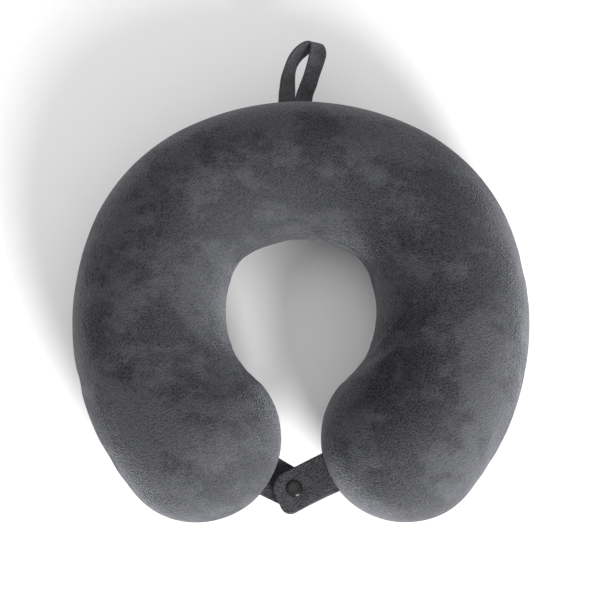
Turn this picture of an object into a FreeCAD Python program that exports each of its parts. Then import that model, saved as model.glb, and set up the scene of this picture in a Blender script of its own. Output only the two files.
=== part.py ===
"""A U-shaped travel neck pillow: a foam core in a liner and a zipped velour cover, a hang loop at the
back, and two fabric tabs between the lobes, closed by a press stud.

Frame: +Z up, the pillow lying flat; +Y towards the back of the neck, where the hang loop is; the mouth
of the U faces -Y. The outer seam is the driving outline: three tangent arcs each side, called back,
shoulder and arm. A place along it is its turn, in degrees from the middle of the back. Sections across
the U are round, and each is flattened where it rests. Millimetres.
"""
import FreeCAD, Part
import Sketcher
import math
import os

SIZES = [
    # the outer seam, as arcs
    ("back_radius", 168.0, "radius of the seam round the back"),
    ("back_turn", 29.5, "degrees that the back arc turns each side"),
    ("shoulder_radius", 125.0, "radius of the seam at the shoulders of the U"),
    ("shoulder_turn", 39.5, "degrees that each shoulder arc turns"),
    ("arm_radius", 176.5, "radius of the seam along each arm"),
    ("arm_turn", 61.0, "degrees that each arm arc turns"),
    # the round section across the U
    ("back_half", 46.2, "section radius in the middle of the back"),
    ("arm_half", 53.0, "section radius at the ends of the arms"),
    ("lobe_swell", 1.2, "how much larger than the arm's section the ball at its end is"),
    ("swell", 1.3, "how late along the arm the section grows"),
    ("sink", 2.5, "how much the section is flattened where it rests"),
    ("seam_height", 52.0, "height of the seam between the two panels"),
    # layers, from the outside in
    ("cover_wall", 1.5, "thickness of the velour cover"),
    ("layer_gap", 0.5, "space between two layers"),
    ("liner_wall", 1.0, "thickness of the knitted liner"),
    # zip low on the outside of the left arm
    ("zip_middle", 100.0, "turn of the middle of the zip"),
    ("zip_turn", 54.0, "degrees of arm that the zip takes"),
    ("zip_height", 26.0, "height of the zip's middle line"),
    ("zip_opening", 5.0, "half width of the opening that the zip fills"),
    ("zip_cut", 4.0, "how far that opening is cut in and out from the tapes' face"),
    ("tape_wall", 0.6, "thickness of a zip tape"),
    ("tape_set", 0.75, "how far the middle of the tape lies inside the cover's surface"),
    ("tape_gap", 0.15, "half the space between the two tapes"),
    ("coil_radius", 0.7, "radius of one row of zip coil"),
    ("stop_turn", 1.0, "degrees that an end stop takes"),
    ("stop_half", 1.9, "half width of an end stop"),
    ("slider_gap", 0.3, "space between the slider and what it runs on"),
    ("slider_wall", 0.8, "thickness of the slider's plate and sides"),
    ("slider_length", 8.6, "length of the slider"),
    ("crown_length", 6.0, "length of the arch on the slider"),
    ("crown_half", 1.1, "half width of the arch"),
    ("crown_wall", 0.8, "thickness of the arch"),
    ("crown_window", 1.8, "depth of the window under the arch"),
    ("pull_wall", 1.0, "thickness of the pull tab and of its cross bar"),
    ("pull_length", 21.0, "length of the pull tab from its cross bar"),
    ("pull_half", 3.0, "half width of the pull tab"),
    ("pull_eye", 5.4, "length of the eye that goes round the arch"),
    # hang loop in the seam at the back
    ("loop_gap", 1.7, "from the back edge to the loop's fold line"),
    ("loop_reach", 43.0, "length of the loop beyond its fold line"),
    ("loop_base", 23.0, "width of the loop's two legs at the seam"),
    ("loop_top", 22.0, "width of the loop at its far end"),
    ("loop_left", 4.2, "how far the middle of the loop's base is left of the middle of the back"),
    ("loop_lean", 11.5, "how far the loop leans to the right"),
    ("loop_wall", 2.4, "thickness of the folded ribbon"),
    ("loop_slit", 9.0, "width of the gap between the legs at the top"),
    ("slit_mouth", 4.5, "width of the gap between the legs near the seam"),
    ("slit_start", 9.0, "from the fold line to the start of the gap"),
    ("slit_end", 9.0, "ribbon left above the gap"),
    ("loop_round", 6.0, "radius of the loop's outer corners"),
    # press-stud tabs between the lobes
    ("tab_width", 25.0, "width of each tab"),
    ("tab_wall", 2.4, "thickness of each tab"),
    ("tab_gap", 1.6, "from the lobe to each tab's fold line"),
    ("tab_round", 11.0, "radius of the corners at a tab's tip"),
    ("tab_tip", 13.0, "from the stud's centre to each tab's tip"),
    ("stud_left", 4.3, "how far the stud is left of the middle"),
    ("stud_front", 33.0, "how far the stud is in front of the lobes' centres"),
    ("cap_radius", 5.35, "radius of a stud cap"),
    ("cap_rise", 1.5, "height of a cap's dome"),
    ("post_radius", 1.0, "radius of the rivet post on a cap"),
    ("post_fit", 0.05, "space round a rivet post"),
    ("ring_radius", 5.1, "radius of the socket and of the stud's flange"),
    ("socket_rise", 2.0, "height of the socket"),
    ("socket_roof", 0.5, "thickness of the socket's closed side"),
    ("flange_rise", 1.0, "thickness of the stud's flange"),
    ("button_radius", 1.7, "radius of the stud's button"),
    ("button_rise", 1.1, "height of the stud's button above its flange"),
    ("button_fit", 0.35, "space round the stud's button in the socket"),
]

# Turns where one arc ends and the next begins, and the centre and radius of each arc on the right side
ARM_START = "(Size.back_turn + Size.shoulder_turn)"
END_TURN = "(Size.back_turn + Size.shoulder_turn + Size.arm_turn)"
SHOULDER_X = "(Size.back_radius - Size.shoulder_radius) * sin(Size.back_turn)"
SHOULDER_Y = "(Size.back_radius - Size.shoulder_radius) * cos(Size.back_turn)"
ARM_X = f"({SHOULDER_X} + (Size.shoulder_radius - Size.arm_radius) * sin({ARM_START}))"
ARM_Y = f"({SHOULDER_Y} + (Size.shoulder_radius - Size.arm_radius) * cos({ARM_START}))"
ARCS = {
    "back": ("0", "0", "Size.back_radius"),
    "shoulder": (f"({SHOULDER_X})", f"({SHOULDER_Y})", "Size.shoulder_radius"),
    "arm": (ARM_X, ARM_Y, "Size.arm_radius"),
}
SECTIONS_PER_ARC = {"back": 2, "shoulder": 3, "arm": 4}

# Radius and centre of the ball that ends the right arm, and the whole object's length to the loop
LOBE_HALF = "(Size.arm_half + Size.lobe_swell)"
LOBE_X = f"({ARM_X} + (Size.arm_radius - {LOBE_HALF}) * sin({END_TURN}))"
LOBE_Y = f"({ARM_Y} + (Size.arm_radius - {LOBE_HALF}) * cos({END_TURN}))"
LOOP_Y = "(Size.back_radius + Size.loop_gap)"
MIDDLE_Y = f"(({LOOP_Y} + Size.loop_reach + {LOBE_Y} - {LOBE_HALF}) / 2)"

# Depths of the layers under the cover's surface
LINER_TOP = "(Size.cover_wall + Size.layer_gap)"
LINER_UNDER = f"({LINER_TOP} + Size.liner_wall)"
FOAM_TOP = f"({LINER_UNDER} + Size.layer_gap)"

# The zip: the arm's section half way along it, how far the zip leans out there, and the heights of
# the zip's parts above the tapes' face
ZIP_SECTION = (
    f"(Size.back_half + (Size.arm_half - Size.back_half) * (Size.zip_middle / {END_TURN}) ^ Size.swell)"
)
ZIP_LEAN = f"asin(({ZIP_SECTION} - Size.sink - Size.zip_height) / {ZIP_SECTION})"
COIL_FACE = "(2 * Size.coil_radius)"
PLATE_UNDER = f"({COIL_FACE} + Size.slider_gap)"
PLATE_FACE = f"({PLATE_UNDER} + Size.slider_wall)"
PULL_LINE = f"({PLATE_FACE} + Size.crown_window / 2)"
DEGREES_PER_MM = "(180 / pi / Size.arm_radius)"
SLIDER_TURN = (
    f"(Size.zip_middle - Size.zip_turn / 2 + Size.stop_turn"
    f" + (Size.slider_length / 2 + Size.slider_gap) * {DEGREES_PER_MM})"
)

# The press stud: its centre in plan, and the space that it keeps between the two tabs
STUD_X = "(-Size.stud_left)"
STUD_Y = f"({LOBE_Y} - Size.stud_front)"
STACK = "(Size.socket_rise + Size.flange_rise)"
RIGHT_TAB_UNDER = f"(Size.seam_height + {STACK} / 2)"
LEFT_TAB_UNDER = f"(Size.seam_height - {STACK} / 2 - Size.tab_wall)"

FAR = 400.0  # larger than the whole pillow, for cutting boxes
DOME = [(0.45, 0.92), (0.8, 0.66), (1.0, 0.25)]  # a cap's dome, as shares of its radius and rise

doc = FreeCAD.newDocument("neck_pillow")


def make_sheet():
    sheet = doc.addObject("Spreadsheet::Sheet", "Size")
    for row, (alias, value, note) in enumerate(SIZES, start=1):
        sheet.set(f"A{row}", alias)
        sheet.set(f"B{row}", str(value))
        sheet.set(f"C{row}", note)
        sheet.setAlias(f"B{row}", alias)
    doc.recompute()
    return sheet


sheet = make_sheet()


def number(text):
    """What an expression comes to now, for the first guess that a sketch starts from."""
    value = sheet.evalExpression(str(text))
    return float(getattr(value, "Value", value))


# ---- sketches and features ----

def new_body(label):
    body = doc.addObject("PartDesign::Body", label)
    body.Label = label
    return body


def plane_of(body, role):
    return next(plane for plane in body.Origin.OriginFeatures if plane.Role == role)


def attach(feature, body, role, base, axis, angle):
    """Puts a sketch or primitive on one of the body's planes, moved by base and turned about axis."""
    feature.AttachmentSupport = (plane_of(body, role), "")
    feature.MapMode = "FlatFace"
    feature.AttachmentOffset = FreeCAD.Placement(
        FreeCAD.Vector(*[number(text) for text in base]), FreeCAD.Rotation(axis, number(angle))
    )
    for name, text in zip("xyz", base):
        feature.setExpression(f"AttachmentOffset.Base.{name}", text)
    feature.setExpression("AttachmentOffset.Rotation.Angle", f"({angle}) * 1 deg")


def flat_sketch(body, name, height, x="0", y="0", angle="0"):
    """A sketch seen from above: its origin at x, y, height, turned by angle about Z."""
    sketch = body.newObject("Sketcher::SketchObject", name)
    attach(sketch, body, "XY_Plane", (x, y, height), FreeCAD.Vector(0, 0, 1), angle)
    return sketch


def upright_sketch(body, name, x, y, turn, height="0"):
    """An upright sketch: its X runs outwards along the given turn from x, y, and its Y runs up."""
    sketch = body.newObject("Sketcher::SketchObject", name)
    attach(sketch, body, "XZ_Plane", (x, height, f"-({y})"), FreeCAD.Vector(0, 1, 0), f"90 - ({turn})")
    return sketch


def fix_point(sketch, geometry, point, x, y):
    """Ties one point of a sketch to expressions for its X and Y."""
    for kind, text in (("DistanceX", x), ("DistanceY", y)):
        index = sketch.addConstraint(Sketcher.Constraint(kind, -1, 1, geometry, point, number(text)))
        sketch.setExpression(f"Constraints[{index}]", text)


def polygon(sketch, points):
    """A closed outline of straight lines through points given as expressions."""
    first = sketch.GeometryCount
    corners = [FreeCAD.Vector(number(x), number(y), 0) for x, y in points]
    count = len(points)
    for i in range(count):
        sketch.addGeometry(Part.LineSegment(corners[i], corners[(i + 1) % count]), False)
    for i in range(count):
        joint = Sketcher.Constraint("Coincident", first + i, 2, first + (i + 1) % count, 1)
        sketch.addConstraint(joint)
    for i, (x, y) in enumerate(points):
        fix_point(sketch, first + i, 1, x, y)


def rectangle(sketch, left, right, low, high):
    polygon(sketch, [(left, low), (right, low), (right, high), (left, high)])


def circle(sketch, x, y, radius):
    place = FreeCAD.Vector(number(x), number(y), 0)
    shape = Part.Circle(place, FreeCAD.Vector(0, 0, 1), number(radius))
    index = sketch.addGeometry(shape, False)
    fix_point(sketch, index, 3, x, y)
    limit = sketch.addConstraint(Sketcher.Constraint("Radius", index, number(radius)))
    sketch.setExpression(f"Constraints[{limit}]", radius)


def pad(body, sketch, length, midplane=False):
    feature = body.newObject("PartDesign::Pad", "Pad")
    feature.Profile = sketch
    feature.Midplane = midplane
    feature.setExpression("Length", length)
    return feature


def pocket(body, sketch):
    """Cuts a sketch through everything below it, and makes sure that it did cut."""
    doc.recompute()
    before = body.Shape.Volume
    feature = body.newObject("PartDesign::Pocket", "Pocket")
    feature.Profile = sketch
    feature.Type = "ThroughAll"
    doc.recompute()
    if body.Shape.Volume >= before:
        raise RuntimeError(f"{body.Label}: a pocket removed nothing")
    return feature


def revolve(body, sketch, angle, kind="PartDesign::Revolution"):
    """Turns a sketch about its own upright axis, half of the angle to each side."""
    feature = body.newObject(kind, "Turned")
    feature.Profile = sketch
    feature.ReferenceAxis = (sketch, ["V_Axis"])
    feature.Midplane = True
    feature.setExpression("Angle", f"({angle}) * 1 deg")
    return feature


def round_edges(body, radius, wanted):
    """Rounds the edges of the body that wanted() picks."""
    doc.recompute()
    names = [f"Edge{i}" for i, edge in enumerate(body.Shape.Edges, start=1) if wanted(edge)]
    rounded = body.Tip
    feature = body.newObject("PartDesign::Fillet", "Rounded")
    feature.Base = (rounded, names)
    feature.setExpression("Radius", radius)
    return feature


def upright_edge(edge):
    low, high = edge.Vertexes[0].Point, edge.Vertexes[-1].Point
    return abs(low.x - high.x) + abs(low.y - high.y) < 1e-6


# ---- the stuffed U ----

def boolean(kind, label, base, tool):
    """A cut or common of two shapes. Its faces aren't joined up afterwards, because a later cut through
    joined ones finds no edges and removes nothing."""
    feature = doc.addObject(f"Part::{kind}", label)
    feature.Label = label
    feature.Refine = False
    feature.Base = base
    feature.Tool = tool
    return feature


def level_box(label, low, high):
    """Everything between two heights."""
    box = doc.addObject("Part::Box", label)
    box.Length = 2 * FAR
    box.Width = 2 * FAR
    box.Placement.Base = FreeCAD.Vector(-FAR, -FAR, 0)
    box.setExpression("Height", f"{high} - ({low})")
    box.setExpression("Placement.Base.z", f"{low}")
    return box

def section_radius(turn):
    """Radius of the round section at a turn: slim behind the neck, full in the arms."""
    return f"(Size.back_half + (Size.arm_half - Size.back_half) * (({turn}) / {END_TURN}) ^ Size.swell)"


def stations():
    """(arc, turn) of each section from the middle of the back to the end of the right arm."""
    places = [("back", "0")]
    start = "0"
    for arc, steps in SECTIONS_PER_ARC.items():
        for step in range(1, steps + 1):
            places.append((arc, f"({start} + Size.{arc}_turn * {step} / {steps})"))
        start = f"{start} + Size.{arc}_turn"
    return places


def sweep_runs():
    """(arc, steps) of each sweep, from the end of the left arm to the end of the right one."""
    arm, shoulder, back = [(arc, SECTIONS_PER_ARC[arc]) for arc in ("arm", "shoulder", "back")]
    return [arm, shoulder, ("back", 2 * back[1]), shoulder, arm]


def section_sketch(body, name, side, arc, turn, inset):
    x, y, radius = ARCS[arc]
    sketch = upright_sketch(body, name, f"{side} * {x}", y, f"{side} * {turn}")
    own = section_radius(turn)
    circle(sketch, f"{radius} - {own}", f"{own} - Size.sink", f"{own} - {inset}")
    return sketch


def lobe_ball(body, side, inset):
    """The ball that an arm ends in, a little fuller than the arm."""
    ball = body.newObject("PartDesign::AdditiveSphere", "Lobe")
    centre = (f"{side} * {LOBE_X}", LOBE_Y, f"{LOBE_HALF} - Size.sink")
    attach(ball, body, "XY_Plane", centre, FreeCAD.Vector(0, 0, 1), "0")
    ball.setExpression("Radius", f"{LOBE_HALF} - {inset}")
    return ball


def stuffed_shape(label, inset):
    """The whole U, inset everywhere from the cover's outer surface by the same depth, and flat where it
    rests."""
    body = new_body(f"{label}_round")
    right = stations()
    run = [(-1, arc, turn) for arc, turn in reversed(right[1:])] + [(1, arc, turn) for arc, turn in right]
    sketches = [
        section_sketch(body, f"{label}_section", side, arc, turn, inset) for side, arc, turn in run
    ]
    doc.recompute()
    start = 0
    for arc, steps in sweep_runs():
        loft = body.newObject("PartDesign::AdditiveLoft", f"Sweep_{arc}")
        loft.Profile = sketches[start]
        loft.Sections = sketches[start + 1:start + steps + 1]
        start += steps
    for side in (-1, 1):
        lobe_ball(body, side, inset)
    return boolean("Common", label, body, level_box(f"{label}_above_rest", inset, FAR))


def make_stuffing():
    """Foam core, liner, and the two halves of the cover with an opening for the zip."""
    outside = stuffed_shape("cover_outside", "0")
    inside = stuffed_shape("cover_inside", "Size.cover_wall")
    liner_outside = stuffed_shape("liner_outside", LINER_TOP)
    liner_inside = stuffed_shape("liner_inside", LINER_UNDER)
    foam = stuffed_shape("foam_core", FOAM_TOP)
    liner = boolean("Cut", "inner_liner", liner_outside, liner_inside)
    shell = boolean("Cut", "cover_shell", outside, inside)
    opening = zip_strip("zip_opening", "-Size.zip_opening", "Size.zip_opening", "0", "Size.zip_turn",
                        "-Size.zip_cut", "Size.zip_cut")
    open_shell = boolean("Cut", "open_shell", shell, opening)
    upper = level_box("above_seam", "Size.seam_height", FAR)
    lower = level_box("below_seam", -FAR, "Size.seam_height")
    top = boolean("Common", "cover_top_panel", open_shell, upper)
    bottom = boolean("Common", "cover_bottom_panel", open_shell, lower)
    return [foam, liner, top, bottom]


# ---- the zip, all turned about the centre of the left arm's arc ----

def on_zip(rise, across):
    """Distance out from the arc's centre and height of a point of the zip: rise is its height above the
    tapes' face, and across its distance up the section from the zip's middle line."""
    reach = f"({ZIP_SECTION} - Size.tape_set + {rise})"
    out = f"Size.arm_radius - {ZIP_SECTION} + {reach} * cos({ZIP_LEAN}) + ({across}) * sin({ZIP_LEAN})"
    height = f"{ZIP_SECTION} - Size.sink - {reach} * sin({ZIP_LEAN}) + ({across}) * cos({ZIP_LEAN})"
    return out, height


def zip_sketch(body, name, turn):
    return upright_sketch(body, name, f"-{ARM_X}", ARM_Y, f"-({turn})")


def zip_outline(sketch, points):
    polygon(sketch, [on_zip(rise, across) for rise, across in points])


def zip_strip(label, low, high, offset, turn, under, face):
    """A strip along the left arm: its two edges across the zip, its reach, and its faces."""
    body = new_body(label)
    sketch = zip_sketch(body, f"{label}_section", f"Size.zip_middle + {offset}")
    zip_outline(sketch, [(under, low), (face, low), (face, high), (under, high)])
    revolve(body, sketch, turn)
    return body


def zip_coil(label, side):
    """One row of coil, as a rod along the tape's edge."""
    body = new_body(label)
    sketch = zip_sketch(body, f"{label}_section", "Size.zip_middle")
    circle(sketch, *on_zip("Size.coil_radius", f"{side} * (Size.coil_radius + Size.tape_gap / 2)"),
           "Size.coil_radius")
    revolve(body, sketch, "Size.zip_turn - 2 * Size.stop_turn")
    return body


def groove(body, sketch, angle):
    """Turns a cut about the arc's centre, and makes sure that it did cut."""
    doc.recompute()
    before = body.Shape.Volume
    revolve(body, sketch, angle, "PartDesign::Groove")
    doc.recompute()
    if body.Shape.Volume >= before:
        raise RuntimeError(f"{body.Label}: a groove removed nothing")


def zip_slider():
    """A channel over the coil with an arch on it that holds the pull tab."""
    body = new_body("zip_slider")
    within = "(2 * Size.coil_radius + Size.tape_gap + Size.slider_gap)"
    beyond = f"({within} + Size.slider_wall)"
    foot = "Size.slider_gap"
    channel = zip_sketch(body, "channel", SLIDER_TURN)
    zip_outline(channel, [
        (foot, f"-{beyond}"), (PLATE_FACE, f"-{beyond}"), (PLATE_FACE, beyond), (foot, beyond),
        (foot, within), (PLATE_UNDER, within), (PLATE_UNDER, f"-{within}"), (foot, f"-{within}"),
    ])
    revolve(body, channel, f"Size.slider_length * {DEGREES_PER_MM}")
    half, window_top = "Size.crown_half", f"({PLATE_FACE} + Size.crown_window)"
    arch_foot, arch_top = f"({PLATE_FACE} - Size.slider_wall / 2)", f"({window_top} + Size.crown_wall)"
    arch = zip_sketch(body, "arch", SLIDER_TURN)
    zip_outline(arch, [(arch_foot, f"-{half}"), (arch_top, f"-{half}"), (arch_top, half), (arch_foot, half)])
    revolve(body, arch, f"Size.crown_length * {DEGREES_PER_MM}")
    window = zip_sketch(body, "window", SLIDER_TURN)
    wide = f"2 * {half}"
    zip_outline(window, [(PLATE_FACE, f"-{wide}"), (window_top, f"-{wide}"), (window_top, wide),
                         (PLATE_FACE, wide)])
    groove(body, window, f"(Size.crown_length - 2 * Size.crown_wall) * {DEGREES_PER_MM}")
    return body


def pull_turn(start, end):
    """Middle turn and angle of a stretch of the pull tab, given in millimetres from its cross bar."""
    middle = f"{SLIDER_TURN} - ({start} + {end}) / 2 * {DEGREES_PER_MM}"
    return middle, f"({end} - {start}) * {DEGREES_PER_MM}"


def zip_pull():
    """A flat tab with an eye whose cross bar lies under the arch; it points to the back of the pillow."""
    body = new_body("zip_pull")
    bar, half, arm = "(Size.pull_wall / 2)", "Size.pull_half", "(Size.pull_half - Size.pull_wall)"
    under, face = f"({PULL_LINE} - {bar})", f"({PULL_LINE} + {bar})"
    turn, angle = pull_turn(f"-{bar}", "Size.pull_length")
    tab_outline = zip_sketch(body, "tab", turn)
    zip_outline(tab_outline, [(under, f"-{half}"), (face, f"-{half}"), (face, half), (under, half)])
    revolve(body, tab_outline, angle)
    turn, angle = pull_turn(bar, "Size.pull_eye")
    eye = zip_sketch(body, "eye", turn)
    low, high = f"({under} - {bar})", f"({face} + {bar})"
    zip_outline(eye, [(low, f"-{arm}"), (high, f"-{arm}"), (high, arm), (low, arm)])
    groove(body, eye, angle)
    return body


def make_zip():
    half = "Size.zip_opening"
    tape = ("-Size.tape_wall", "0")
    stop = ("0", PLATE_UNDER)
    to_end = "(Size.zip_turn - Size.stop_turn) / 2"
    stop_low, stop_high = "-Size.stop_half", "Size.stop_half"
    return [
        zip_strip("zip_tape_upper", "Size.tape_gap", half, "0", "Size.zip_turn", *tape),
        zip_strip("zip_tape_lower", f"-{half}", "-Size.tape_gap", "0", "Size.zip_turn", *tape),
        zip_coil("zip_coil_upper", 1),
        zip_coil("zip_coil_lower", -1),
        zip_strip("zip_closed_stop", stop_low, stop_high, f"-{to_end}", "Size.stop_turn", *stop),
        zip_strip("zip_open_stop", stop_low, stop_high, to_end, "Size.stop_turn", *stop),
        zip_slider(),
        zip_pull(),
    ]


# ---- the hang loop ----

def hang_loop():
    """Ribbon folded into a loop: two legs side by side at the seam, with a narrow gap between them."""
    body = new_body("hang_loop")
    outline = flat_sketch(body, "ribbon", "Size.seam_height", "-Size.loop_left", LOOP_Y)
    polygon(outline, [
        ("-Size.loop_base / 2", "0"),
        ("Size.loop_base / 2", "0"),
        ("Size.loop_lean + Size.loop_top / 2", "Size.loop_reach"),
        ("Size.loop_lean - Size.loop_top / 2", "Size.loop_reach"),
    ])
    pad(body, outline, "Size.loop_wall", midplane=True)
    far_end = number(f"{LOOP_Y} + Size.loop_reach") - 1.0
    round_edges(body, "Size.loop_round",
                lambda edge: upright_edge(edge) and edge.Vertexes[0].Point.y > far_end)
    gap = flat_sketch(body, "gap", "Size.seam_height + Size.loop_wall", "-Size.loop_left", LOOP_Y)
    slit_far = "(Size.loop_reach - Size.slit_end)"
    near_lean = "(Size.loop_lean * Size.slit_start / Size.loop_reach)"
    far_lean = f"(Size.loop_lean * {slit_far} / Size.loop_reach)"
    polygon(gap, [
        (f"{near_lean} - Size.slit_mouth / 2", "Size.slit_start"),
        (f"{near_lean} + Size.slit_mouth / 2", "Size.slit_start"),
        (f"{far_lean} + Size.loop_slit / 2", slit_far),
        (f"{far_lean} - Size.loop_slit / 2", slit_far),
    ])
    pocket(body, gap)
    return body


# ---- tabs and press stud ----

def stud_distance(side):
    """From the lobe's centre to the stud's centre, in plan."""
    return f"sqrt(({STUD_X} - {side} * {LOBE_X}) ^ 2 + Size.stud_front ^ 2)"


def tab(label, side, under):
    """A tab that leaves its lobe square to the surface, with a rounded tip and a hole for the rivet."""
    body = new_body(label)
    heading = f"atan2(-Size.stud_front; {STUD_X} - {side} * {LOBE_X})"
    outline = flat_sketch(body, "outline", under, f"{side} * {LOBE_X}", LOBE_Y, heading)
    start = f"({LOBE_HALF} + Size.tab_gap)"
    tip = f"({stud_distance(side)} + Size.tab_tip)"
    rectangle(outline, start, tip, "-Size.tab_width / 2", "Size.tab_width / 2")
    pad(body, outline, "Size.tab_wall")
    lobe = FreeCAD.Vector(side * number(LOBE_X), number(LOBE_Y), 0)
    near_tip = number(f"{stud_distance(side)}")
    round_edges(body, "Size.tab_round", lambda edge: upright_edge(edge)
                and (edge.Vertexes[0].Point - lobe).projectToPlane(FreeCAD.Vector(), FreeCAD.Vector(0, 0, 1))
                .Length > near_tip)
    hole = flat_sketch(body, "rivet_hole", f"{under} + Size.tab_wall", STUD_X, STUD_Y)
    circle(hole, "0", "0", "Size.post_radius + Size.post_fit")
    pocket(body, hole)
    return body


def turned_piece(label, profiles, height):
    """A round fitting on the stud's axis: each profile is a closed outline of (radius, height)."""
    body = new_body(label)
    for points in profiles:
        sketch = upright_sketch(body, "profile", STUD_X, STUD_Y, "0", height)
        polygon(sketch, points)
        revolve(body, sketch, "360")
    return body


def cap(label, up, height):
    """A domed cap with a rivet post; up is 1 for a dome on top and -1 for one underneath."""
    reach = f"{-up} * (Size.tab_wall + Size.socket_roof)"
    rise = f"{up} * Size.cap_rise"
    dome = [(f"Size.cap_radius * {out}", f"{rise} * {high}") for out, high in DOME]
    points = [
        ("0", rise), *dome, ("Size.cap_radius", "0"), ("Size.post_radius", "0"),
        ("Size.post_radius", reach), ("0", reach),
    ]
    return turned_piece(label, [points], height)


def snap_socket():
    """A ring with a closed top, riveted under the right tab; the stud's button sits in it."""
    rim, well = "Size.ring_radius", "(Size.button_radius + Size.button_fit)"
    rivet = "(Size.post_radius + Size.post_fit)"
    points = [
        (rivet, "0"), (rim, "0"), (rim, "-Size.socket_rise"), (well, "-Size.socket_rise"),
        (well, "-Size.socket_roof"), (rivet, "-Size.socket_roof"),
    ]
    return turned_piece("snap_socket", [points], RIGHT_TAB_UNDER)


def snap_stud():
    """A flange with a button in the middle, riveted on the left tab."""
    rivet = "(Size.post_radius + Size.post_fit)"
    top = "(Size.flange_rise + Size.button_rise)"
    points = [
        (rivet, "0"), ("Size.ring_radius", "0"), ("Size.ring_radius", "Size.flange_rise"),
        ("Size.button_radius", "Size.flange_rise"), ("Size.button_radius", top), (rivet, top),
    ]
    return turned_piece("snap_stud", [points], f"{LEFT_TAB_UNDER} + Size.tab_wall")


def make_tabs():
    return [
        tab("right_tab", 1, RIGHT_TAB_UNDER),
        tab("left_tab", -1, LEFT_TAB_UNDER),
        cap("snap_cap", 1, f"{RIGHT_TAB_UNDER} + Size.tab_wall"),
        snap_socket(),
        snap_stud(),
        cap("stud_cap", -1, LEFT_TAB_UNDER),
    ]


# ---- build, check and write ----

def centre_on_origin(pieces):
    """Moves every piece so that the middle of the whole object's plan is the origin."""
    for piece in pieces:
        piece.setExpression("Placement.Base.y", f"-{MIDDLE_Y}")
    doc.recompute()


def check(pieces):
    for item in doc.Objects:
        if "Invalid" in item.State or "Error" in item.State:
            raise RuntimeError(f"{item.Label} failed: {item.State}")
    for piece in pieces:
        if piece.Shape.isNull() or not piece.Shape.isValid() or piece.Shape.Volume <= 0:
            raise RuntimeError(f"{piece.Label} has no sound shape")


def write(pieces):
    os.makedirs("parts", exist_ok=True)
    for piece in pieces:
        piece.Shape.exportStep(f"parts/{piece.Label}.step")
        box = piece.Shape.BoundBox
        print(f"{piece.Label:20s} {piece.Shape.Volume / 1000:9.3f} cm3 {len(piece.Shape.Solids)} solid(s)"
              f"  x {box.XMin:7.1f} {box.XMax:7.1f}  y {box.YMin:7.1f} {box.YMax:7.1f}"
              f"  z {box.ZMin:6.1f} {box.ZMax:6.1f}")


def report_places():
    """The joint lines, in the finished frame, for the record."""
    middle = number(MIDDLE_Y)
    out, height = [number(text) for text in on_zip(PULL_LINE, "0")]
    turn = math.radians(number(SLIDER_TURN))
    print("zip arc centre", round(-number(ARM_X), 3), round(number(ARM_Y) - middle, 3))
    print("slider turn", round(number(SLIDER_TURN), 3))
    print("zip lean", round(number(ZIP_LEAN), 3))
    print("pull bar", round(-number(ARM_X) - out * math.sin(turn), 3),
          round(number(ARM_Y) - middle + out * math.cos(turn), 3), round(height, 3))
    print("loop fold line y", round(number(LOOP_Y) - middle, 3))
    print("lobe centre", round(number(LOBE_X), 3), round(number(LOBE_Y) - middle, 3))
    print("stud", round(number(STUD_X), 3), round(number(STUD_Y) - middle, 3))
    print("arc centre of the back y", round(-middle, 3))


pieces = make_stuffing() + make_zip() + [hang_loop()] + make_tabs()
centre_on_origin(pieces)
check(pieces)
write(pieces)
report_places()
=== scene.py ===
# %% [markdown]
# # A U-shaped neck pillow
# This lesson dresses a finished model of a travel pillow: a moulded foam core in a zipped velour cover,
# with a hang loop behind and two press-stud tabs in front. The model that is loaded here fixes every size
# and place. Each soft piece is then built again, as cloth looks, in the same place.

# %% Load the model
import bmesh
import bpy
import math
from mathutils import Matrix, Vector


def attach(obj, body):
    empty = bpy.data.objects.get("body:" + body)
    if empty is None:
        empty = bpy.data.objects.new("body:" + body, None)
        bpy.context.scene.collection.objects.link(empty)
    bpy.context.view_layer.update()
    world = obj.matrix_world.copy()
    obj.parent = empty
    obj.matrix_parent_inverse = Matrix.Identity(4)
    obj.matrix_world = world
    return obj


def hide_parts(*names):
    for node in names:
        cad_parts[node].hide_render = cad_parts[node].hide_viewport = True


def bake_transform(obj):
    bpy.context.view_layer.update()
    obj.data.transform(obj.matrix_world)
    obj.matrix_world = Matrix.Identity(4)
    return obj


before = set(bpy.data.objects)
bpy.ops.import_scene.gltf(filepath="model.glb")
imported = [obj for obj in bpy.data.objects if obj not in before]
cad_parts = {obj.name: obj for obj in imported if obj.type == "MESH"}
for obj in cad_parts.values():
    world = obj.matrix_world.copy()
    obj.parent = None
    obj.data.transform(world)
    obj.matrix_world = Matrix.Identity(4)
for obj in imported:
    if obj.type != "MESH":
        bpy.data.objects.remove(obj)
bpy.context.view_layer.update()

MM = 0.001

# %% [markdown]
# ## Camera
# The pillow lies flat and is seen from almost straight above, a little from the front. A long lens keeps
# the arms of the U as wide as the back. The camera comes first, so that every later step can be judged
# through it.

# %% Camera
VIEW_ELEVATION = math.radians(78)
VIEW_DISTANCE = 1.10
aim = Vector((-0.0007, -0.0172, 0.050))
camera_data = bpy.data.cameras.new("camera")
camera_data.lens = 100
camera_data.sensor_width = 36
camera = bpy.data.objects.new("camera", camera_data)
bpy.context.scene.collection.objects.link(camera)
camera.location = aim + VIEW_DISTANCE * Vector((0, -math.cos(VIEW_ELEVATION), math.sin(VIEW_ELEVATION)))
camera.rotation_euler = (math.pi / 2 - VIEW_ELEVATION, 0, 0)
bpy.context.scene.camera = camera
print("camera at", tuple(round(v, 3) for v in camera.location))

# %% [markdown]
# ## Light and floor
# Velour is lit from the front right by one large soft panel, so that the slopes facing it glow and the
# ones turned away stay dark. A pale world fills the rest. The floor is a plain pale sheet that belongs to
# the stage and not to the pillow.

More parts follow.
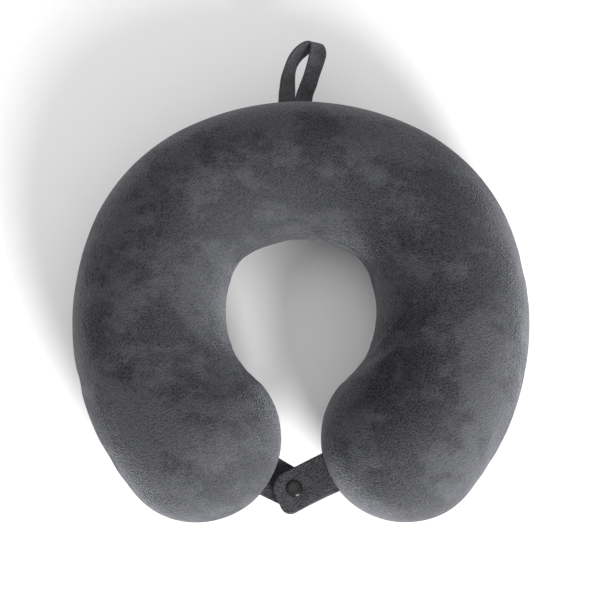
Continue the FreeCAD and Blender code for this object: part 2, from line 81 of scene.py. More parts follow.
# %% Floor, lights and world
def area_light(name, place, target, size, power, colour=(1, 1, 1)):
    data = bpy.data.lights.new(name, "AREA")
    data.shape, data.size, data.energy, data.color = "DISK", size, power, colour
    lamp = bpy.data.objects.new(name, data)
    bpy.context.scene.collection.objects.link(lamp)
    lamp.location = place
    lamp.rotation_euler = (Vector(target) - Vector(place)).to_track_quat("-Z", "Y").to_euler()
    return lamp


area_light("key_light", (0.60, -1.25, 0.80), (0, 0, 0.05), 0.6, 42)
area_light("fill_light", (-0.3, 0.2, 1.6), (0, 0, 0.05), 1.4, 4)
world = bpy.data.worlds.new("studio")
world.use_nodes = True
world.node_tree.nodes["Background"].inputs["Color"].default_value = (1, 1, 1, 1)
world.node_tree.nodes["Background"].inputs["Strength"].default_value = 0.75
bpy.context.scene.world = world
bpy.context.scene.view_settings.view_transform = "Standard"

floor_mesh = bpy.data.meshes.new("floor")
bm = bmesh.new()
bmesh.ops.create_grid(bm, x_segments=1, y_segments=1, size=4.0)
bm.to_mesh(floor_mesh)
bm.free()
floor = bpy.data.objects.new("floor", floor_mesh)
floor.location = (0, 0, -0.0005)
bpy.context.scene.collection.objects.link(floor)

# %% [markdown]
# ## Shader maths as Python
# A material is a graph of nodes. Writing the graph's arithmetic as Python keeps it readable: a socket is
# wrapped so that `a * 0.5 + b` adds the Math nodes. Colours pass through Mix, because Math would turn
# them grey.

# %% A small graph writer
class Value:
    """A socket that Python's operators can be used on."""

    def __init__(self, graph, socket):
        self.graph, self.socket = graph, socket

    def math(self, operation, first, second):
        return self.graph.node("ShaderNodeMath", {"operation": operation}, {0: first, 1: second})

    def __add__(self, other):
        return self.math("ADD", self, other)

    def __mul__(self, other):
        return self.math("MULTIPLY", self, other)

    def __sub__(self, other):
        return self.math("SUBTRACT", self, other)

    def __rsub__(self, other):
        return self.math("SUBTRACT", other, self)

    __radd__, __rmul__ = __add__, __mul__

    def ramp(self, low, high):
        """Eases from 0 to 1 as the value goes from low to high."""
        return self.graph.node("ShaderNodeMapRange", {"interpolation_type": "SMOOTHSTEP"}, {
            "Value": self, "From Min": low, "From Max": high})


class Graph:
    """One material's node tree."""

    def __init__(self, name):
        self.material = bpy.data.materials.new(name)
        self.material.use_nodes = True
        self.tree = self.material.node_tree
        self.shader = self.tree.nodes["Principled BSDF"]

    def put(self, socket, value):
        if isinstance(value, Value):
            self.tree.links.new(value.socket, socket)
        else:
            socket.default_value = value

    def node(self, kind, settings=None, inputs=None, out=0):
        made = self.tree.nodes.new(kind)
        for name, value in (settings or {}).items():
            setattr(made, name, value)
        for name, value in (inputs or {}).items():
            self.put(made.inputs[name], value)
        return Value(self, made.outputs[out])

    def mix(self, share, first, second):
        return self.node("ShaderNodeMix", {"data_type": "RGBA"}, {0: share, 6: first, 7: second}, out=2)

    def place(self):
        return self.node("ShaderNodeTexCoord", out="Object")

    def stretch(self, vector, scale, turn=(0, 0, 0)):
        return self.node("ShaderNodeMapping", {}, {"Vector": vector, "Scale": scale, "Rotation": turn})

    def noise(self, vector, scale, detail, rough):
        return self.node("ShaderNodeTexNoise", {}, {
            "Vector": vector, "Scale": scale, "Detail": detail, "Roughness": rough})

    def cells(self, vector, scale):
        return self.node("ShaderNodeTexVoronoi", {}, {"Vector": vector, "Scale": scale})

    def bands(self, vector, way, scale, distortion=0.0):
        return self.node("ShaderNodeTexWave", {"wave_type": "BANDS", "bands_direction": way}, {
            "Vector": vector, "Scale": scale, "Distortion": distortion})

    def facing(self, way):
        """How far the surface faces one way, from -1 to 1."""
        normal = self.node("ShaderNodeTexCoord", out="Normal")
        return self.node("ShaderNodeVectorMath", {"operation": "DOT_PRODUCT"}, {0: normal, 1: way},
                         out="Value")

    def bump(self, height, distance, strength):
        return self.node("ShaderNodeBump", {}, {
            "Height": height, "Distance": distance, "Strength": strength})

    def finish(self, **sockets):
        for name, value in sockets.items():
            self.put(self.shader.inputs[name.replace("_", " ")], value)
        return self.material


def grey(value):
    """A linear grey, a little cool."""
    return (value * 0.98, value, value * 1.09, 1)


# %% [markdown]
# ## Velour
# The cover is short-pile velour. Three things make it look so: tufts about a millimetre across, patches
# where a hand has brushed the pile the other way, and a soft glow at grazing angles. The tufts are cells
# and fine noise in the bump; the patches shift both the colour and how rough the pile is; the glow is
# sheen, which is set as a constant. On top of these is painted light: the colour is paler on slopes that
# face the front right, where the key light is, and darker on those turned away from it. That is a dot
# product of the surface's direction with a fixed way.

# %% Velour materials
# the way the painted light comes from: the front right, like the key light
PAINTED_LIGHT_WAY = (0.70, -0.50, 0.12)
TUFT_HEIGHT = 0.0006


def velour(name, dark, light, tuft, sheen):
    """Velour from its dark to its light tone, with so many tufts to the metre and so much glow."""
    g = Graph(name)
    at = g.place()
    wander = g.noise(at, 15.0, 5.0, 0.66)
    patch = g.noise(g.stretch(at, (1.0, 1.3, 1.0), (0, 0, 0.5)), 38.0, 5.0, 0.68)
    brushed = (wander * 0.55 + patch * 0.45).ramp(0.45, 0.56)
    tufts = g.cells(at, tuft)
    pile = g.noise(at, tuft * 1.5, 2.0, 0.7)
    grain = (tufts * -0.8 + pile * 1.6 + 0.05).ramp(0.20, 0.75)
    # painted light: paler on slopes facing the front right and darker on those turned away; tone adds it to
    # the brushed patches and the grain
    tilt = g.facing(PAINTED_LIGHT_WAY).ramp(-0.50, 0.95)
    tone = brushed * 0.28 + tilt * 0.38 + grain * 0.34
    colour = g.mix(tone, dark, light)
    height = g.bump(tufts * -1.0 + pile * 0.6, TUFT_HEIGHT, 1.0)
    return g.finish(Base_Color=colour, Roughness=0.95 - brushed * 0.12, Normal=height,
                    Sheen_Weight=sheen, Sheen_Roughness=0.35, Sheen_Tint=(0.9, 0.92, 1.0, 1),
                    Specular_IOR_Level=0.15)


cover_velour = velour("cover_velour", grey(0.008), grey(0.083), tuft=900.0, sheen=0.35)
loop_velour = velour("loop_velour", grey(0.006), grey(0.100), tuft=1000.0, sheen=0.25)
tab_velour = velour("tab_velour", grey(0.006), grey(0.080), tuft=800.0, sheen=0.25)
print("velours:", cover_velour.name, loop_velour.name, tab_velour.name)

# %% [markdown]
# ## Where the U runs
# The outer rim of the pillow is three arcs on each side: back, shoulder and arm. A place on it is its
# turn, in degrees from the middle of the back, negative on the left. Past the end of an arm the pillow
# closes as a ball, and a place there is how far round the ball's quarter it lies. One function gives the
# middle, the outward direction and the radius of the round section anywhere along.

# %% The path of the section
BACK_CENTRE, BACK_RADIUS = Vector((0, -0.04943)), 0.168
SHOULDER_CENTRE, SHOULDER_RADIUS, SHOULDER_START = Vector((0.02117, -0.01200)), 0.125, 29.5
ARM_CENTRE, ARM_RADIUS, ARM_START, ARM_END = Vector((-0.026905, -0.030459)), 0.1765, 69.0, 130.0
BACK_HALF, ARM_HALF, SWELL = 0.0462, 0.0530, 1.3
LOBE_CENTRE, LOBE_HALF = Vector((0.066782, -0.109072)), 0.0542
LOBE_START = 104.0      # turn at which an arm begins to widen into its lobe
SINK = 0.0025           # how far the floor would cut into the round section, where it rests flat
SEAM_HEIGHT = 0.052
TUCK = 0.0004           # the cover is cut a little small, and the stuffing fills it out
REST_EASE = 0.004       # height below which the underside goes over into its flat
LOWEST = 0.0003


def section(turn):
    """Middle (x, y), outward direction and radius of the section at a signed turn. Beyond the end of the
    arm, the turn runs on to ARM_END + 90 round the ball."""
    side, place = (-1 if turn < 0 else 1), abs(turn)
    on_arm = min(place, ARM_END)
    if on_arm <= SHOULDER_START:
        centre, rim = BACK_CENTRE, BACK_RADIUS
    elif on_arm <= ARM_START:
        centre, rim = SHOULDER_CENTRE, SHOULDER_RADIUS
    else:
        centre, rim = ARM_CENTRE, ARM_RADIUS
    half = BACK_HALF + (ARM_HALF - BACK_HALF) * (on_arm / ARM_END) ** SWELL
    ease = max(0.0, min(1.0, (on_arm - LOBE_START) / (ARM_END - LOBE_START)))
    half += (LOBE_HALF - ARM_HALF) * ease * ease * (3 - 2 * ease)
    angle = math.radians(on_arm)
    outward = Vector((math.sin(angle), math.cos(angle)))
    middle = centre + (rim - half) * outward
    if place > ARM_END:
        round_ball = math.radians(place - ARM_END)
        middle = LOBE_CENTRE + Vector((outward.y, -outward.x)) * (LOBE_HALF * math.sin(round_ball))
        half = LOBE_HALF * math.cos(round_ball)
    return Vector((side * middle.x, middle.y)), Vector((side * outward.x, outward.y)), half


def full_half(turn):
    """Radius of the section, or of the ball that the place belongs to."""
    return section(math.copysign(min(abs(turn), ARM_END), turn))[2]


def height_of_middle(turn):
    return full_half(turn) - SINK


print("section in the middle of the back", section(0)[2], "and at the lobes", section(ARM_END)[2])

# %% [markdown]
# ## The cover
# A grid is a flat sheet of squares, the natural start for cloth: wrapped round the U it makes even
# squares that a cloth simulation likes, and its two long edges meet in the outer seam. One row of the
# grid lies exactly on the seam at each side, so that the two panels can be parted there later.
#
# Along the grid runs the turn, round the grid runs the section: from the outer seam over the top to the
# inner seam, and on underneath to the zip's lips and back to the outer seam.

# %% Wrap a grid round the U
ALONG, OVER, UNDER = 188, 32, 34       # squares along the U, over the top and underneath
LOBE_SQUARES = 16                      # of those along, how many close each lobe
ZIP_START, ZIP_END = 73.0, 127.0       # turns between which the zip lies, on the left
ZIP_HEIGHT, ZIP_OPENING = 0.026, 0.005
LIP_ROWS = (6, 8)                      # rows underneath, counted from the outer seam, at the zip's lips


def turn_at(share):
    """Signed turn at a share along the grid, even along the arcs and even round the lobes."""
    squares = share * ALONG - ALONG / 2
    straight = ALONG / 2 - LOBE_SQUARES
    if abs(squares) <= straight:
        return squares / straight * ARM_END
    return math.copysign(ARM_END + 90 * (abs(squares) - straight) / LOBE_SQUARES, squares)


def angle_at(row, turn):
    """Angle round the section for a row of the grid: 0 points out, a quarter turn points up."""
    full = full_half(turn)
    seam = math.asin((SEAM_HEIGHT - height_of_middle(turn)) / full)
    if row <= OVER:
        return seam + (math.pi - 2 * seam) * row / OVER
    zip_angle = -math.asin((height_of_middle(turn) - ZIP_HEIGHT) / full)
    lip = ZIP_OPENING / full
    inner_seam = math.pi - seam - 2 * math.pi     # the inner seam, reached from underneath
    left = OVER + UNDER - row                     # rows still to go to the outer seam
    stops = [(0, seam), (LIP_ROWS[0], zip_angle + lip), (LIP_ROWS[1], zip_angle - lip), (UNDER, inner_seam)]
    for (r0, a0), (r1, a1) in zip(stops, stops[1:]):
        if left <= r1:
            return a0 + (a1 - a0) * (left - r0) / (r1 - r0)
    return inner_seam


def on_cover(turn, angle):
    """A point of the pillow's surface."""
    middle, outward, half = section(turn)
    reach = max(half - TUCK, 0.0)
    plan = middle + outward * (reach * math.cos(angle))
    height = height_of_middle(turn) + reach * math.sin(angle)
    if height < REST_EASE:
        height = REST_EASE * math.exp((height - REST_EASE) / REST_EASE) * 0.999
        height = max(height, LOWEST)
    return Vector((plan.x, plan.y, height))


def cloth_grid(along, across):
    """A flat grid, one metre square, whose UVs run from 0 to 1 both ways."""
    bm = bmesh.new()
    bmesh.ops.create_grid(bm, x_segments=along, y_segments=across, size=0.5)
    uv = bm.loops.layers.uv.new("cloth")
    for face in bm.faces:
        for loop in face.loops:
            loop[uv].uv = (loop.vert.co.x + 0.5, loop.vert.co.y + 0.5)
    return bm


def wrapped_cover():
    rows = OVER + UNDER
    bm = cloth_grid(ALONG, rows)
    row_of = bm.verts.layers.int.new("row")
    column_of = bm.verts.layers.int.new("column")
    for vert in bm.verts:
        share, row = vert.co.x + 0.5, round((vert.co.y + 0.5) * rows)
        vert[row_of], vert[column_of] = row % rows, round(share * ALONG)
        turn = turn_at(share)
        vert.co = on_cover(turn, angle_at(row, turn))
    bmesh.ops.remove_doubles(bm, verts=bm.verts, dist=0.00002)
    for vert in bm.verts:
        if vert[column_of] in (0, ALONG):   # each end of the grid has shrunk to one point, on the seam
            vert[row_of] = 0
    bmesh.ops.recalc_face_normals(bm, faces=bm.faces)
    return bm


def new_object(name, bm):
    mesh = bpy.data.meshes.new(name)
    for face in bm.faces:
        face.smooth = True
    bm.to_mesh(mesh)
    bm.free()
    made = bpy.data.objects.new(name, mesh)
    bpy.context.scene.collection.objects.link(made)
    return made


def round_off(piece):
    """One level of subdivision, the same in the viewport and in a render."""
    rounder = piece.modifiers.new("rounder", "SUBSURF")
    rounder.levels = rounder.render_levels = 1


cover_bm = wrapped_cover()
open_edges = sum(1 for e in cover_bm.edges if not e.is_manifold)
print("cover squares:", len(cover_bm.faces), "open edges:", open_edges)
whole_cover = new_object("whole_cover", cover_bm)

# %% [markdown]
# ## Filling the cover
# A stuffed cover is pushed outwards everywhere and held back by its seams, which are sewn shorter than the
# cloth beside them. A cloth simulation does exactly this: the cloth is told to be a little larger than it
# was modelled, a pressure inside pushes it out, and the rows of the seams stay where they are. The result
# is smooth and full, with small puckers along the seams. How far any point may move is capped, so that
# the pillow keeps its size.

# %% Run the cloth simulation
SIMULATED_FRAMES = 20
SPARE_CLOTH = 0.012     # how much larger the cloth is than the shape it starts from
PRESSURE = 4.0
LARGEST_MOVE = 0.0030
DEEPEST_MOVE = 0.0003   # inwards the stuffing stops it
STILL_COLUMNS, EASED_COLUMNS = 4, 8     # from the tip of a lobe: those that stay, and those that ease in


def in_zip(column):
    return ZIP_START <= -turn_at(column / ALONG) <= ZIP_END


def is_held(row, column):
    on_seam = row in (0, OVER)
    on_lip = OVER + UNDER - row in LIP_ROWS and in_zip(column)
    return on_seam or on_lip


def fill_out(piece):
    """Inflates a cover with Blender's cloth, and puts the result into its mesh."""
    mesh = piece.data
    rest = [v.co.copy() for v in mesh.vertices]
    outwards = [n.vector.copy() for n in mesh.vertex_normals]
    rows = [a.value for a in mesh.attributes["row"].data]
    columns = [a.value for a in mesh.attributes["column"].data]
    held = piece.vertex_groups.new(name="held")
    for index, (row, column) in enumerate(zip(rows, columns)):
        if is_held(row, column):
            held.add([index], 1.0, "REPLACE")
    cloth = piece.modifiers.new("cloth", "CLOTH")
    cloth.settings.quality = 6
    cloth.settings.mass = 0.25
    cloth.settings.tension_stiffness = cloth.settings.compression_stiffness = 18
    cloth.settings.shear_stiffness = 8
    cloth.settings.bending_stiffness = 0.8
    cloth.settings.shrink_min = -SPARE_CLOTH
    cloth.settings.use_pressure = True
    cloth.settings.uniform_pressure_force = PRESSURE
    cloth.settings.vertex_group_mass = "held"
    cloth.settings.effector_weights.gravity = 0.0
    cloth.collision_settings.use_self_collision = False
    scene = bpy.context.scene
    for number in range(1, SIMULATED_FRAMES + 1):
        scene.frame_set(number)
    shown = piece.evaluated_get(bpy.context.evaluated_depsgraph_get())
    moved = [v.co.copy() for v in shown.data.vertices]
    piece.modifiers.remove(cloth)
    scene.frame_set(1)
    furthest = 0.0
    for vert, old, new, outward, column in zip(mesh.vertices, rest, moved, outwards, columns):
        step = new - old
        furthest = max(furthest, step.length)
        step -= outward * min(0.0, step.dot(outward) + DEEPEST_MOVE)
        from_end = min(column, ALONG - column)
        step *= max(0.0, min(1.0, (from_end - STILL_COLUMNS) / EASED_COLUMNS))
        if step.length > LARGEST_MOVE:
            step = step.normalized() * LARGEST_MOVE
        vert.co = old + step
        vert.co.z = max(vert.co.z, LOWEST)
    piece.vertex_groups.clear()
    return furthest


print("the cloth moved by up to", round(fill_out(whole_cover) / MM, 2), "mm before the cap")

# %% [markdown]
# ## Two panels and a seam
# The filled cover is parted along its seam rows. Each panel gets a narrow strip along its edge, made with
# an inset, and the edge itself is drawn inwards, so that the two panels meet in a fine groove. The bottom
# panel also opens between the zip's lips. Solidify gives both the thickness of velour.

# %% Part the cover into panels
GROOVE = 0.0005         # how far the edge is drawn inwards
EDGE_STRIP = 0.0012
NARROW_COLUMNS = 7      # from the tip of a lobe, over which the strip comes to its full width
AT_TIP = 0.06           # share of the width that is left at the very tip
SEAM_OVERLAP = 0.00035  # how far each edge passes the seam's middle, so that nothing shows between them
VELOUR_THICK = 0.0010


def is_top(face, row_of):
    return all(v[row_of] <= OVER for v in face.verts)


def is_zip_gap(face, row_of, column_of):
    left = [OVER + UNDER - v[row_of] for v in face.verts]
    return (min(left) >= LIP_ROWS[0] and max(left) <= LIP_ROWS[1]
            and all(in_zip(v[column_of]) for v in face.verts))


def from_tip(column):
    """Eases from nearly 0 at the tips of the lobes to 1 a few columns away."""
    return max(AT_TIP, min(1.0, min(column, ALONG - column) / NARROW_COLUMNS))


def panel(name, top):
    bm = bmesh.new()
    bm.from_mesh(whole_cover.data)
    row_of, column_of = bm.verts.layers.int["row"], bm.verts.layers.int["column"]
    bm.normal_update()
    spare = [f for f in bm.faces if is_top(f, row_of) != top or is_zip_gap(f, row_of, column_of)]
    bmesh.ops.delete(bm, geom=spare, context="FACES")
    strip = bmesh.ops.inset_region(bm, faces=bm.faces[:], use_boundary=True, thickness=EDGE_STRIP)
    for edge in {e for f in strip["faces"] for e in f.edges}:
        inner, rim = sorted(edge.verts, key=lambda v: v.is_boundary)
        if rim.is_boundary and not inner.is_boundary:   # the strip narrows where the squares do
            inner.co = rim.co.lerp(inner.co, from_tip(rim[column_of]))
    bm.normal_update()
    edge_verts = [v for v in bm.verts if v.is_boundary]
    for vert, pull in [(v, v.normal * GROOVE * from_tip(v[column_of])) for v in edge_verts]:
        vert.co -= pull + Vector((0, 0, SEAM_OVERLAP if top else -SEAM_OVERLAP))
    made = new_object(name, bm)
    round_off(made)
    wall = made.modifiers.new("velour", "SOLIDIFY")
    wall.thickness, wall.offset = VELOUR_THICK, -1.0
    made.data.materials.append(cover_velour)
    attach(made, "pillow")
    return made


velour_top = panel("velour_top_panel", True)
velour_bottom = panel("velour_bottom_panel", False)
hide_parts("cover_top_panel")
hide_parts("cover_bottom_panel")
bpy.data.objects.remove(whole_cover)
print("panel squares:", len(velour_top.data.polygons), len(velour_bottom.data.polygons))

# %% [markdown]
# ## The zip's teeth
# A coil zip shows as a row of small rounded bars. Each is a bevelled cube, wrapped on to the curve that
# the zip follows: a place on it has a turn along the arm, a rise away from the cover and a distance across.

# %% Wrap the teeth along the zip
ZIP_MIDDLE = Vector((-ARM_CENTRE.x, ARM_CENTRE.y))
ZIP_RADIUS, TAPE_SET = 0.05103, 0.00075
TOOTH_STEP, TOOTH_THICK, TOOTH_WIDE, TOOTH_RISE = 0.00125, 0.00078, 0.001875, 0.00120
TOOTH_ASIDE, TOOTH_BEVEL = 0.00045, 0.00016
PLAIN_ENDS = 1.0        # degrees at each end of the zip that have no teeth


def on_zip(along, rise, across):
    """A point near the zip, from its turn in degrees and two distances."""
    tilt = math.asin((ZIP_RADIUS - SINK - ZIP_HEIGHT) / ZIP_RADIUS)
    reach = ZIP_RADIUS - TAPE_SET + rise
    out = ARM_RADIUS - ZIP_RADIUS + reach * math.cos(tilt) + across * math.sin(tilt)
    height = ZIP_RADIUS - SINK - reach * math.sin(tilt) + across * math.cos(tilt)
    angle = math.radians(along)
    return Vector((ZIP_MIDDLE.x - out * math.sin(angle), ZIP_MIDDLE.y + out * math.cos(angle), height))


def zip_teeth():
    first, last = ZIP_START + PLAIN_ENDS, ZIP_END - PLAIN_ENDS
    step = math.degrees(TOOTH_STEP / ARM_RADIUS)
    bm = bmesh.new()
    for number in range(int((last - first) / step)):
        size = Matrix.Diagonal((TOOTH_THICK, TOOTH_WIDE, TOOTH_RISE, 1))
        aside = TOOTH_ASIDE * (1 if number % 2 else -1)
        made = bmesh.ops.create_cube(bm, size=1.0, matrix=Matrix.Translation((0, aside, 0)) @ size)
        turn = first + number * step
        for vert in made["verts"]:
            near, across, rise = vert.co
            vert.co = Vector((turn + math.degrees(near / ARM_RADIUS), across, rise + TOOTH_RISE / 2))
    for vert in bm.verts:
        vert.co = on_zip(vert.co.x, vert.co.z, vert.co.y)
    bmesh.ops.bevel(bm, geom=bm.edges[:], offset=TOOTH_BEVEL, offset_type="OFFSET", segments=1, profile=0.5,
                    affect="EDGES", material=-1)
    bmesh.ops.recalc_face_normals(bm, faces=bm.faces)
    made = new_object("zip_coil_teeth", bm)
    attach(made, "pillow")
    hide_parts("zip_coil_upper", "zip_coil_lower")
    return made


teeth = zip_teeth()
print("faces in the zip's teeth:", len(teeth.data.polygons))

# %% [markdown]
# ## The hang loop
# The loop is one flat ribbon sewn into the back seam by both its ends, side by side. It rises flat, turns
# on its edge to go round the top, and lies flat again on the way down, so its inner side shows at the
# top. The ribbon is described by where its two edges run, with a middle line that bows between them; a
# grid is laid over those three lines.

# %% Lay the ribbon of the loop
RIBBON_WALL, RIBBON_WIDTH = 0.0016, 0.0114
RIBBON_EDGES = [  # left or upper edge, right or lower edge (x, y, z in mm), and how far the middle bows out
    ((-15.5, 113.0, 51.5), (-4.6, 113.0, 51.5), 0.0),
    ((-15.5, 117.5, 52.0), (-4.2, 117.5, 52.0), 0.0),
    ((-15.0, 126.0, 52.5), (-3.8, 126.5, 51.5), 0.0),
    ((-13.8, 135.0, 54.0), (-4.0, 135.0, 50.0), 0.0),
    ((-11.5, 141.5, 56.0), (-3.9, 141.0, 48.5), 0.2),
    ((-8.2, 149.5, 57.5), (-2.6, 146.5, 46.8), 0.5),
    ((-3.6, 155.8, 58.0), (0.6, 151.5, 46.3), 0.8),
    ((2.4, 160.0, 58.0), (4.6, 155.2, 46.0), 1.0),
    ((6.0, 159.6, 57.6), (10.5, 161.6, 46.0), 2.0),
    ((6.3, 155.4, 57.0), (15.4, 160.9, 47.5), 2.6),
    ((4.8, 149.0, 56.2), (17.3, 154.0, 50.0), 1.6),
    ((3.2, 143.0, 55.4), (15.6, 146.0, 52.0), 0.8),
    ((1.0, 136.0, 54.4), (12.6, 137.0, 52.4), 0.4),
    ((-1.0, 131.0, 53.4), (10.8, 130.5, 52.2), 0.0),
    ((-3.5, 124.0, 52.9), (8.4, 124.0, 52.4), 0.0),
    ((-4.8, 117.5, 52.6), (7.4, 117.5, 52.6), 0.0),
    ((-4.4, 113.0, 51.5), (7.1, 113.0, 51.5), 0.0),
]


def catmull(points, share):
    """A point on the smooth line through points, at a share of the way along them."""
    place = share * (len(points) - 1)
    i = min(int(place), len(points) - 2)
    t = place - i
    p0, p1, p2, p3 = (Vector(points[max(0, min(len(points) - 1, i + k))]) for k in (-1, 0, 1, 2))
    return 0.5 * (2 * p1 + (p2 - p0) * t + (2 * p0 - 5 * p1 + 4 * p2 - p3) * t ** 2
                  + (3 * p1 - p0 - 3 * p2 + p3) * t ** 3)


LEFT_EDGE = [row[0] for row in RIBBON_EDGES]
RIGHT_EDGE = [row[1] for row in RIBBON_EDGES]
BOWS = [(row[2], 0, 0) for row in RIBBON_EDGES]
BOW_WAY = Vector((0.35, 0.94, 0))
BOW_SHARE = 0.7         # of the bowed line; the rest is the straight line between the edges


def on_ribbon(along, across):
    left, right = catmull(LEFT_EDGE, along), catmull(RIGHT_EDGE, along)
    middle = (left + right) / 2 + BOW_WAY * catmull(BOWS, along).x
    bend = left * (1 - across) ** 2 + middle * 2 * across * (1 - across) + right * across ** 2
    straight = left * (1 - across) + right * across
    return (bend * BOW_SHARE + straight * (1 - BOW_SHARE)) * MM


def cloth_strip(name, along, across, place, wall):
    """A strip of cloth: a grid laid by place(along, across), with a rounded thickness."""
    bm = cloth_grid(along, across)
    for vert in bm.verts:
        vert.co = place(vert.co.x + 0.5, vert.co.y + 0.5)
    made = new_object(name, bm)
    thick = made.modifiers.new("thickness", "SOLIDIFY")
    thick.thickness, thick.offset = wall, 0.0
    round_off(made)
    return made


ribbon = cloth_strip("hang_loop_ribbon", 110, 10, on_ribbon, RIBBON_WALL)
ribbon.data.materials.append(loop_velour)
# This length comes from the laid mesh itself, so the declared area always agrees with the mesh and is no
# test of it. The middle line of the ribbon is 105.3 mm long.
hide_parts("hang_loop")
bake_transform(ribbon)

# %% [markdown]
# ## The tabs
# Each tab is a doubled strip of velour that leaves its lobe at the seam and ends in a round tip. The
# right one lies on top. A grid gives the strip; its far corners are drawn in along a circle, and it dips
# a little towards the press stud, where the rivets pull the layers together.

# %% Lay the two tabs
STUD_PLACE = Vector((-0.0043, -0.142072))
TAB_HALF, TAB_ROUND, TAB_TIP, TAB_WALL = 0.0125, 0.011, 0.013, 0.0024
TAB_ROOT = 0.0070       # how far the tab reaches into the lobe from its surface
ROOT_SHARE, ROOT_TO_SEAM = 0.35, 0.55   # how much of the tab turns to the seam, and how far it comes
ROOT_FLARE, FRONT_FLARE, FRONT_CORNER = 0.0012, 0.0028, 0.70
STUD_DIP, DIP_REACH, RIPPLE = 0.0003, 0.0085, 0.0003
RIGHT_TAB_MIDDLE, LEFT_TAB_MIDDLE = 0.0547, 0.0493


def tab_frame(side):
    lobe = Vector((side * LOBE_CENTRE.x, LOBE_CENTRE.y))
    reach = STUD_PLACE - lobe
    ahead = reach.normalized()
    return lobe, ahead, Vector((-ahead.y, ahead.x)), reach.length


def tab_piece(name, side, height, node):
    """A tab laid as a strip of velour in place of the loaded node, which is hidden."""
    lobe, ahead, across_way, to_stud = tab_frame(side)
    start, tip = LOBE_HALF - TAB_ROOT, to_stud + TAB_TIP

    def place(along, across):
        reach = start + (tip - start) * (1 - (1 - along) ** 1.25)
        in_front = side * (2 * across - 1) > 0
        corner = TAB_ROUND * (FRONT_CORNER if in_front and side > 0 else 1.0)
        past = max(0.0, reach - (tip - corner)) / corner
        half = TAB_HALF - corner + corner * math.sqrt(max(0.0, 1 - past ** 2))
        flare = ROOT_FLARE * (1 - along) ** 2
        if in_front and side > 0:   # this tab's corner in front is fuller
            flare += FRONT_FLARE * along ** 1.5
        sideways = (2 * across - 1) * (half + flare)
        point = lobe + ahead * reach + across_way * sideways
        near_stud = math.exp(-((reach - to_stud) ** 2 + sideways ** 2) / DIP_REACH ** 2)
        root = max(0.0, 1 - along / ROOT_SHARE)
        z = height - math.copysign(STUD_DIP, height - SEAM_HEIGHT) * near_stud
        z += (SEAM_HEIGHT - height) * ROOT_TO_SEAM * root ** 2
        z += RIPPLE * math.sin(9 * along + 2.5 * side) * (2 * across - 1)
        return Vector((point.x, point.y, z))

    made = cloth_strip(name, 44, 22, place, TAB_WALL)
    made.data.materials.append(tab_velour)
    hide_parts(node)
    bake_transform(made)
    # The area, less the round corners, is the laid mesh's own where that is the smaller, so for such a tab
    # the declared area is no test of the mesh either.
    return made


over_tab = tab_piece("right_tab_velour", 1, RIGHT_TAB_MIDDLE, "right_tab")
under_tab = tab_piece("left_tab_velour", -1, LEFT_TAB_MIDDLE, "left_tab")
print("tabs reach", [round(tab_frame(side)[3] / MM, 1) for side in (1, -1)], "mm from their lobes")

# %% [markdown]
# ## The press stud
# The caps are turned shapes: half an outline spun once round the stud's axis. A fine groove runs round
# each dome inside its rim. Glossy plastic needs little more than a low roughness and a trace of scuffing.

# %% Spin the caps
def plastic():
    g = Graph("snap_plastic")
    at = g.place()
    scuff = g.noise(g.stretch(at, (1.0, 3.0, 1.0)), 900.0, 3.0, 0.6)
    colour = g.mix(scuff.ramp(0.35, 0.75), grey(0.005), grey(0.0075))
    return g.finish(Base_Color=colour, Roughness=scuff * 0.16 + 0.14, Specular_IOR_Level=0.35,
                    Normal=g.bump(scuff, 0.00004, 0.5))


snap_plastic = plastic()
CAP_OUTLINE = [(0.0, 1.50), (1.4, 1.46), (2.8, 1.30), (3.7, 1.10), (4.0, 0.98), (4.15, 0.86), (4.35, 0.90),
               (4.8, 0.72), (5.15, 0.45), (5.33, 0.15), (5.35, 0.0), (5.1, -0.18), (3.5, -0.2), (0.0, -0.2)]


def turned_cap(name, height, up, body, node):
    """Spins the outline of (radius, height) in mm once about the stud's axis."""
    bm = bmesh.new()
    verts = [bm.verts.new((r * MM, 0, h * MM * up)) for r, h in CAP_OUTLINE]
    edges = [bm.edges.new(pair) for pair in zip(verts, verts[1:])]
    bmesh.ops.spin(bm, geom=verts + edges, cent=(0, 0, 0), axis=(0, 0, 1), angle=2 * math.pi, steps=48,
                   use_merge=True)
    bmesh.ops.remove_doubles(bm, verts=bm.verts, dist=0.000005)
    bmesh.ops.recalc_face_normals(bm, faces=bm.faces)
    bmesh.ops.translate(bm, verts=bm.verts, vec=(STUD_PLACE.x, STUD_PLACE.y, height))
    made = new_object(name, bm)
    round_off(made)
    made.data.materials.append(snap_plastic)
    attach(made, body)
    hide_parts(node)
    return made


CAP_SINKS = 0.0001
upper_cap = turned_cap("snap_cap_dome", RIGHT_TAB_MIDDLE + TAB_WALL / 2 - CAP_SINKS, 1, "right_tab",
                       "snap_cap")
lower_cap = turned_cap("stud_cap_dome", LEFT_TAB_MIDDLE - TAB_WALL / 2 + CAP_SINKS, -1, "left_tab",
                       "stud_cap")
print("caps:", upper_cap.name, lower_cap.name)

# %% [markdown]
# ## Pieces that keep their shape
# The pieces inside the cover, the zip's tapes, stops, slider and pull, and the socket and stud keep the
# shapes of the loaded model, and only get their finishes: pale moulded foam with small cells, a fine knit,
# black lacquered metal, black plastic and a woven tape.

# %% Finishes for the loaded pieces
def foam():
    g = Graph("memory_foam")
    at = g.place()
    cell = g.cells(at, 700.0)
    tone = g.noise(at, 30.0, 3.0, 0.5)
    colour = g.mix(tone * 0.6 + cell * 0.4, (0.72, 0.66, 0.50, 1), (0.86, 0.80, 0.64, 1))
    return g.finish(Base_Color=colour, Roughness=0.95, Normal=g.bump(cell, 0.0004, 0.6))


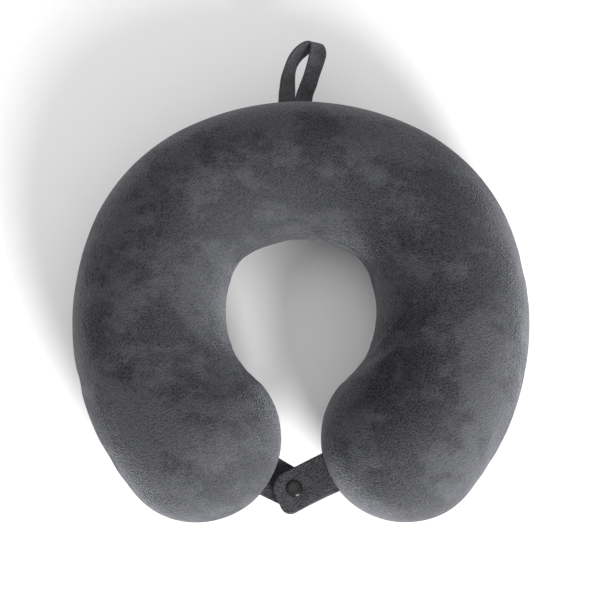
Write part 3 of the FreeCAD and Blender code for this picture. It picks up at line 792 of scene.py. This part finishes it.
def knit():
    g = Graph("liner_knit")
    at = g.place()
    loops = g.bands(at, "X", 260.0) * g.bands(at, "Y", 200.0, 1.5)
    return g.finish(Base_Color=g.mix(loops, (0.60, 0.60, 0.61, 1), (0.80, 0.80, 0.81, 1)), Roughness=0.9,
                    Normal=g.bump(loops, 0.0002, 0.7))


def lacquer():
    g = Graph("zip_metal")
    at = g.place()
    cloud = g.noise(at, 400.0, 3.0, 0.6)
    worn = g.noise(at, 1500.0, 2.0, 0.7).ramp(0.60, 0.72)
    colour = g.mix(worn * 0.5, grey(0.012), grey(0.10))
    return g.finish(Base_Color=colour, Roughness=cloud * 0.25 + 0.22, Metallic=worn * 0.6 + 0.2,
                    Normal=g.bump(cloud, 0.00005, 0.4))


def woven_tape():
    g = Graph("zip_tape")
    at = g.place()
    weave = g.bands(at, "Y", 420.0, 0.6) * 0.5 + g.bands(at, "Z", 420.0, 0.6) * 0.5
    return g.finish(Base_Color=g.mix(weave, grey(0.010), grey(0.030)), Roughness=0.85,
                    Normal=g.bump(weave, 0.00025, 0.8))


def coil_nylon():
    g = Graph("zip_coil")
    at = g.place()
    wear = g.noise(at, 1200.0, 2.0, 0.6)
    return g.finish(Base_Color=g.mix(wear, grey(0.020), grey(0.048)), Roughness=wear * 0.2 + 0.30,
                    Normal=g.bump(wear, 0.00004, 0.5))


FINISHES = {
    "foam_core": foam(), "inner_liner": knit(), "zip_tape_upper": woven_tape(), "zip_closed_stop": lacquer(),
    "zip_coil_upper": coil_nylon(), "snap_socket": snap_plastic,
}
for same, like in (("zip_tape_lower", "zip_tape_upper"), ("zip_coil_lower", "zip_coil_upper"),
                   ("zip_open_stop", "zip_closed_stop"), ("zip_slider", "zip_closed_stop"),
                   ("zip_pull", "zip_closed_stop"), ("snap_stud", "snap_socket")):
    FINISHES[same] = FINISHES[like]
teeth.data.materials.append(FINISHES["zip_coil_upper"])
for node, finish in FINISHES.items():
    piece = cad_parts[node]
    piece.data.materials.clear()
    piece.data.materials.append(finish)
print("finished nodes:", len(FINISHES))

# %% [markdown]
# ## The floor's finish
# A pale matt floor keeps the light soft under the pillow.

# %% Floor finish
floor_graph = Graph("pale_floor")
speck = floor_graph.noise(floor_graph.place(), 60.0, 2.0, 0.5)
floor.data.materials.append(floor_graph.finish(
    Base_Color=floor_graph.mix(speck, (0.86, 0.86, 0.86, 1), (0.88, 0.88, 0.88, 1)), Roughness=0.9))
